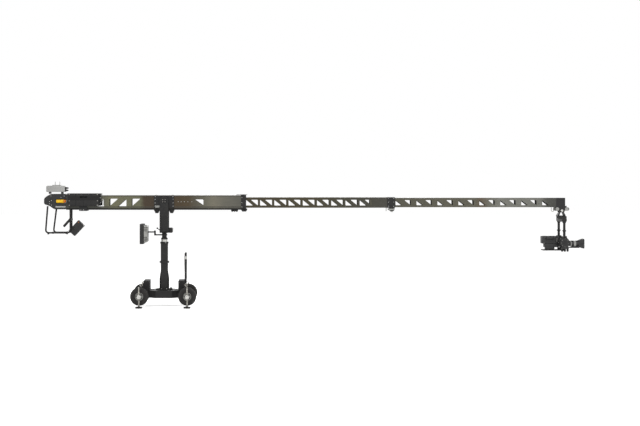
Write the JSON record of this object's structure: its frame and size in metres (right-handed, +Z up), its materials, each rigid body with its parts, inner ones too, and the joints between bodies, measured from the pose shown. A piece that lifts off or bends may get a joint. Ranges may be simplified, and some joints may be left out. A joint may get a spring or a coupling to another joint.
{
  "type": "telescoping camera crane",
  "caption": "Wheeled camera crane: turning column, tilting boom of nested truss tubes that telescope against moving weights, and a remote head with its camera.",
  "frame": {"origin": "on the chassis underside below the column axis", "axes": "+X along the boom towards the camera, +Z up, +Y towards the far side of the boom"},
  "size_m": [9.146, 1.098, 2.1047],
  "materials": {
    "frame_black": "satin black paint",
    "ballast_iron": "black painted cast iron",
    "collar_black": "satin black paint",
    "ring_steel": "turned bright steel",
    "pole_paint": "black anodised tube",
    "tyre": "solid black rubber",
    "rim": "cast and turned aluminium",
    "screw_steel": "turned steel, lightly oiled",
    "foot_rubber": "black rubber",
    "box_plastic": "fine textured black",
    "lever_steel": "blackened steel",
    "screen_plastic": "textured black",
    "tube_olive": "olive anodised",
    "tube_bronze": "brown anodised",
    "tube_dark_olive": "dark olive anodised",
    "guide_rubber": "black rubber",
    "carriage_black": "black anodised",
    "motor_yellow": "yellow paint",
    "radio_silver": "silver anodised",
    "grip_rubber": "ribbed black rubber",
    "camera_black": "textured black"
  },
  "bodies": {
    "chassis": {"chassis_frame": "frame_black", "ballast_box_rear": "ballast_iron", "ballast_box_front": "ballast_iron", "pedestal": "frame_black", "pedestal_collar": "collar_black", "bearing_ring": "ring_steel", "rear_axle": "frame_black"},
    "knuckle_near": {"steering_knuckle_near": "frame_black"},
    "knuckle_far": {"steering_knuckle_far": "frame_black"},
    "tie_rod": {"tie_rod": "frame_black"},
    "steering_yoke": {"steering_yoke": "frame_black"},
    "steering_pole": {"steering_pole": "pole_paint"},
    "wheel_rear_near": {"tyre_rear_near": "tyre", "rim_rear_near": "rim"},
    "jack_rear_near": {"jack_screw_rear_near": "screw_steel", "jack_foot_rear_near": "foot_rubber"},
    "wheel_rear_far": {"tyre_rear_far": "tyre", "rim_rear_far": "rim"},
    "jack_rear_far": {"jack_screw_rear_far": "screw_steel", "jack_foot_rear_far": "foot_rubber"},
    "wheel_front_near": {"tyre_front_near": "tyre", "rim_front_near": "rim"},
    "jack_front_near": {"jack_screw_front_near": "screw_steel", "jack_foot_front_near": "foot_rubber"},
    "wheel_front_far": {"tyre_front_far": "tyre", "rim_front_far": "rim"},
    "jack_front_far": {"jack_screw_front_far": "screw_steel", "jack_foot_front_far": "foot_rubber"},
    "swivel": {"swivel_post": "frame_black", "tilt_fork": "frame_black", "junction_box": "box_plastic"},
    "brake_lever": {"brake_lever": "lever_steel"},
    "monitor_arm_lower": {"monitor_arm_lower": "frame_black"},
    "monitor_arm_upper": {"monitor_arm_upper": "frame_black"},
    "monitor_housing": {"monitor_housing": "screen_plastic"},
    "boom": {"outer_tube": "tube_olive", "tilt_saddle": "frame_black", "front_collar": "frame_black", "tail_housing": "box_plastic", "drive_motor": "motor_yellow", "radio_box": "radio_silver", "operator_frame": "frame_black"},
    "guide_roller": {"guide_roller": "guide_rubber"},
    "counterweights": {"counterweight_carriage": "carriage_black", "counterweight_near": "ballast_iron", "counterweight_far": "ballast_iron"},
    "control_grip": {"control_grip": "grip_rubber"},
    "console_monitor": {"console_monitor": "screen_plastic"},
    "middle_section": {"middle_tube": "tube_bronze", "middle_collar": "collar_black"},
    "inner_section": {"inner_tube": "tube_dark_olive", "nose_block": "frame_black"},
    "level_bracket": {"level_bracket": "frame_black"},
    "pan_unit": {"pan_unit": "box_plastic", "head_frame": "frame_black", "tilt_motor": "box_plastic"},
    "camera": {"camera_cradle": "frame_black", "camera_body": "camera_black", "lens": "camera_black", "matte_box": "camera_black"}
  },
  "joints": [
    {"name": "steer_near", "type": "hinge", "parent": "chassis", "child": "knuckle_near", "pos_m": [0.4, -0.295, 0.042], "axis": [0, 0, 1], "range_deg": [-25, 25]},
    {"name": "steer_far", "type": "hinge", "parent": "chassis", "child": "knuckle_far", "pos_m": [0.4, 0.295, 0.042], "axis": [0, 0, 1], "range_deg": [-25, 25]},
    {"name": "tie_rod_pivot", "type": "hinge", "parent": "knuckle_near", "child": "tie_rod", "pos_m": [0.472, -0.295, 0.0593], "axis": [0, 0, 1], "range_deg": [-25, 25]},
    {"name": "yoke_steer", "type": "hinge", "parent": "chassis", "child": "steering_yoke", "pos_m": [0.4, 0, 0.08], "axis": [0, 0, 1], "range_deg": [-25, 25]},
    {"name": "pole_fold", "type": "hinge", "parent": "steering_yoke", "child": "steering_pole", "pos_m": [0.362, 0, 0.109], "axis": [0, 1, 0], "range_deg": [0, 80]},
    {"name": "wheel_roll_rear_near", "type": "hinge", "parent": "chassis", "child": "wheel_rear_near", "pos_m": [-0.4, -0.38, 0.042], "axis": [0, 1, 0], "continuous": true},
    {"name": "jack_lift_rear_near", "type": "slide", "parent": "chassis", "child": "jack_rear_near", "axis": [0, 0, 1], "range_m": [-0.08, 0.045]},
    {"name": "wheel_roll_rear_far", "type": "hinge", "parent": "chassis", "child": "wheel_rear_far", "pos_m": [-0.4, 0.38, 0.042], "axis": [0, 1, 0], "continuous": true},
    {"name": "jack_lift_rear_far", "type": "slide", "parent": "chassis", "child": "jack_rear_far", "axis": [0, 0, 1], "range_m": [-0.08, 0.045]},
    {"name": "wheel_roll_front_near", "type": "hinge", "parent": "knuckle_near", "child": "wheel_front_near", "pos_m": [0.4, -0.38, 0.042], "axis": [0, 1, 0], "continuous": true},
    {"name": "jack_lift_front_near", "type": "slide", "parent": "knuckle_near", "child": "jack_front_near", "axis": [0, 0, 1], "range_m": [-0.08, 0.045]},
    {"name": "wheel_roll_front_far", "type": "hinge", "parent": "knuckle_far", "child": "wheel_front_far", "pos_m": [0.4, 0.38, 0.042], "axis": [0, 1, 0], "continuous": true},
    {"name": "jack_lift_front_far", "type": "slide", "parent": "knuckle_far", "child": "jack_front_far", "axis": [0, 0, 1], "range_m": [-0.08, 0.045]},
    {"name": "column_pan", "type": "hinge", "parent": "chassis", "child": "swivel", "pos_m": [0, 0, 0.979], "axis": [0, 0, 1], "continuous": true},
    {"name": "pan_brake", "type": "hinge", "parent": "swivel", "child": "brake_lever", "pos_m": [-0.05, -0.142, 1.127], "axis": [0, 1, 0], "range_deg": [-30, 30]},
    {"name": "monitor_swing", "type": "hinge", "parent": "swivel", "child": "monitor_arm_lower", "pos_m": [0, 0, 1.0556], "axis": [0, 0, 1], "range_deg": [-45, 45]},
    {"name": "monitor_turn", "type": "hinge", "parent": "monitor_arm_lower", "child": "monitor_arm_upper", "pos_m": [-0.16, 0, 1.1036], "axis": [0, 0, 1], "range_deg": [-30, 30]},
    {"name": "monitor_tilt", "type": "hinge", "parent": "monitor_arm_upper", "child": "monitor_housing", "pos_m": [-0.2877, 0, 1.1036], "axis": [0, 1, 0], "range_deg": [-15, 15]},
    {"name": "boom_tilt", "type": "hinge", "parent": "swivel", "child": "boom", "pos_m": [0, 0, 1.637], "axis": [0, -1, 0], "range_deg": [-28, 25]},
    {"name": "middle_extend", "type": "slide", "parent": "boom", "child": "middle_section", "axis": [1, 0, 0], "range_m": [-2.36, 0]},
    {"name": "inner_extend", "type": "slide", "parent": "middle_section", "child": "inner_section", "axis": [1, 0, 0], "range_m": [-2.36, 0]},
    {"name": "counterweight_travel", "type": "slide", "parent": "boom", "child": "counterweights", "axis": [1, 0, 0], "range_m": [0, 0.7788]},
    {"name": "guide_roller_spin", "type": "hinge", "parent": "boom", "child": "guide_roller", "pos_m": [1.345, 0, 1.4917], "axis": [0, 1, 0], "range_deg": [-5650, 10]},
    {"name": "nose_level", "type": "hinge", "parent": "inner_section", "child": "level_bracket", "pos_m": [6.742, 0, 1.468], "axis": [0, -1, 0], "range_deg": [-25, 28]},
    {"name": "head_pan", "type": "hinge", "parent": "level_bracket", "child": "pan_unit", "pos_m": [6.75, 0, 1.4], "axis": [0, 0, 1], "continuous": true},
    {"name": "head_tilt", "type": "hinge", "parent": "pan_unit", "child": "camera", "pos_m": [6.75, 0, 0.926], "axis": [0, 1, 0], "range_deg": [-45, 45]},
    {"name": "grip_turn", "type": "hinge", "parent": "boom", "child": "control_grip", "pos_m": [-1.587, -0.15, 1.316], "axis": [0, 1, 0], "range_deg": [-40, 40]},
    {"name": "console_tilt", "type": "hinge", "parent": "boom", "child": "console_monitor", "pos_m": [-1.54, 0, 1.166], "axis": [0, 1, 0], "range_deg": [-15, 15]}
  ],
  "couplings": [
    {"joint": "steer_far", "follows": "steer_near", "ratio": 1},
    {"joint": "yoke_steer", "follows": "steer_near", "ratio": 1},
    {"joint": "tie_rod_pivot", "follows": "steer_near", "ratio": -1},
    {"joint": "inner_extend", "follows": "middle_extend", "ratio": 1},
    {"joint": "counterweight_travel", "follows": "middle_extend", "ratio": -0.33},
    {"joint": "guide_roller_spin", "follows": "middle_extend", "rad_per_m": 41.667},
    {"joint": "nose_level", "follows": "boom_tilt", "ratio": -1}
  ]
}
